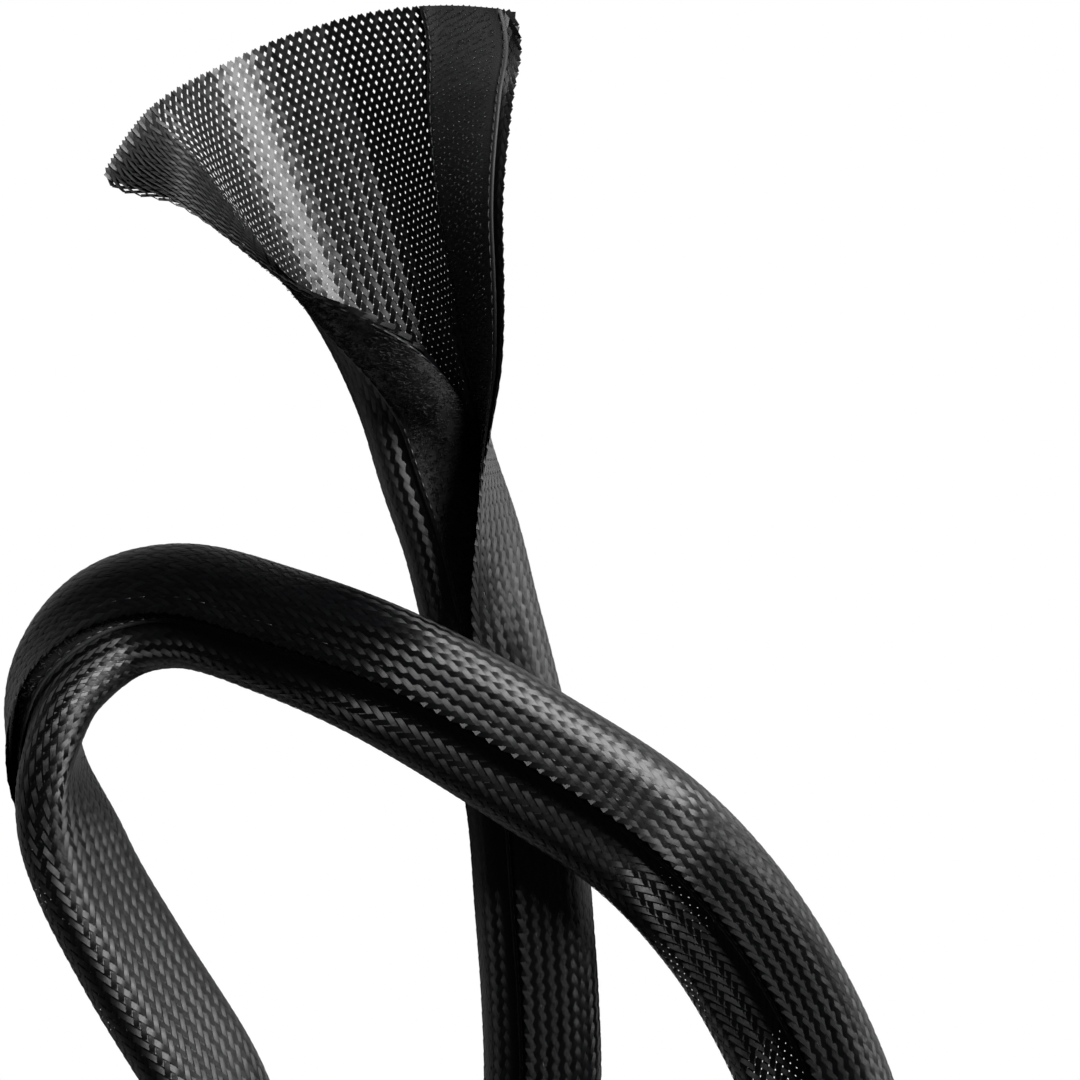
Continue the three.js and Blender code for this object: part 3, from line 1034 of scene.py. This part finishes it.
@dataclass(frozen=True)
class Studio:
    """The camera, the light and the floor, in metres and watts."""

    middle: tuple[float, float] = (0.0035, 0.0578)
    seen_width: float = 0.240
    seen_level: float = 0.008
    distance: float = 0.56
    sensor: float = 36.0
    floor_size: float = 6.0
    floor_drop: float = 0.0006
    fill: float = 0.03
    backdrop: float = 0.95

    def camera(self) -> None:
        """Looks straight down, with the picture's up along +Y."""
        data = bpy.data.cameras.new("camera")
        data.sensor_width = self.sensor
        data.lens = self.sensor * self.distance / self.seen_width
        made = bpy.data.objects.new("camera", data)
        made.location = (*self.middle, self.seen_level + self.distance)
        bpy.context.scene.collection.objects.link(made)
        bpy.context.scene.camera = made

    def floor(self) -> None:
        """Lays a plain white floor that looks evenly lit to the camera and lights the sleeve from below."""
        bpy.ops.mesh.primitive_plane_add(size=self.floor_size, location=(*self.middle, -self.floor_drop))
        made = bpy.context.object
        made.name = "floor"
        material = bpy.data.materials.new("paper_backdrop_white")
        material.use_nodes = True
        tree = material.node_tree
        tree.nodes.clear()
        path = node(tree, "ShaderNodeLightPath", {}, {})
        seen = node(tree, "ShaderNodeEmission", {"Color": srgb("#ffffff"), "Strength": 1.0}, {})
        matte = node(tree, "ShaderNodeBsdfDiffuse", {"Color": srgb("#e9e9e9")}, {})
        both = node(
            tree,
            "ShaderNodeMixShader",
            {},
            {0: path.outputs["Is Camera Ray"], 1: matte.outputs[0], 2: seen.outputs[0]},
        )
        node(tree, "ShaderNodeOutputMaterial", {}, {"Surface": both.outputs[0]})
        made.data.materials.append(material)
        made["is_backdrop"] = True

    def panel(
        self, name: str, place: tuple[float, float, float], size: tuple[float, float], power: float
    ) -> None:
        """Hangs a soft panel light that faces the sleeve.

        Args:
            name: The light's name.
            place: Where it hangs, from the middle of the picture.
            size: Its width and height.
            power: Its power.
        """
        data = bpy.data.lights.new(name, "AREA")
        data.shape = "RECTANGLE"
        data.size, data.size_y = size
        data.energy = power
        made = bpy.data.objects.new(name, data)
        made.location = (self.middle[0] + place[0], self.middle[1] + place[1], place[2])
        target = Vector((*self.middle, 0.0))
        made.rotation_euler = (target - made.location).to_track_quat("-Z", "Y").to_euler()
        bpy.context.scene.collection.objects.link(made)

    def world(self) -> None:
        """Fills the room with even light that looks white to the camera."""
        world = bpy.data.worlds.new("studio")
        world.use_nodes = True
        tree = world.node_tree
        tree.nodes.clear()
        path = node(tree, "ShaderNodeLightPath", {}, {})
        strength = node(
            tree,
            "ShaderNodeMath",
            {"operation": "MULTIPLY_ADD", 1: self.backdrop, 2: self.fill},
            {0: path.outputs["Is Camera Ray"]},
        )
        light = node(
            tree, "ShaderNodeBackground", {"Color": srgb("#ffffff")}, {"Strength": strength.outputs[0]}
        )
        node(tree, "ShaderNodeOutputWorld", {}, {"Surface": light.outputs[0]})
        bpy.context.scene.world = world

    def build(self) -> None:
        """Sets up the whole studio."""
        self.camera()
        self.floor()
        self.world()
        self.panel("key", place=(0.46, 0.46, 0.55), size=(0.30, 0.30), power=15.0)
        self.panel("rim", place=(0.80, 0.05, 0.30), size=(0.12, 0.60), power=3.0)
        bpy.context.scene.view_settings.view_transform = "Standard"


def corners() -> list[list[float]]:
    """Reads the lowest and the highest corner of what is shown.

    Returns:
        The two corners as plain lists, in metres.
    """
    return [list(corner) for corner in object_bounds()]


def main() -> None:
    """Builds the sleeve and the studio around it."""
    logging.basicConfig(level=logging.INFO, format="%(name)s: %(message)s")
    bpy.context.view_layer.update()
    sizes = WrapSizes()
    surface = Surface(sizes)
    braid = Braid()
    strand = STRAND_FINISH.build()
    left, right = (braid.build(surface, family, strand) for family in Family)
    hook = Tape("hook_tape", sizes.hook_zone, Face.INNER)
    loop = Tape("loop_tape", sizes.loop_zone, Face.OUTER)
    ground, thread = GROUND_FINISH.build(), THREAD_FINISH.build()
    hook_ground = hook.build(surface, ground)
    loop_ground = loop.build(surface, ground)
    hooks = HookField().build(surface, hook, HOOK_FINISH.build())
    pile = LoopPile().build(surface, loop, PILE_FINISH.build())
    inset = sizes.tape_selvedge_width / 2
    stitches = []
    for tape, near, far in (
        (hook, hook.zone[0] + inset, hook.zone[1] - inset),
        (loop, loop.zone[1] - inset, loop.zone[0] + inset),
    ):
        for place, across in (("inner", near), ("outer", far)):
            row = Stitching(f"{tape.name}_{place}_stitching", across, tape.face)
            stitches.append(row.build(surface, tape, thread))
    others = [right, hook_ground, loop_ground, hooks, pile, *stitches]
    for piece in [left, *others]:
        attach(piece, "root")
    Studio().build()


if __name__ == "__main__":
    main()
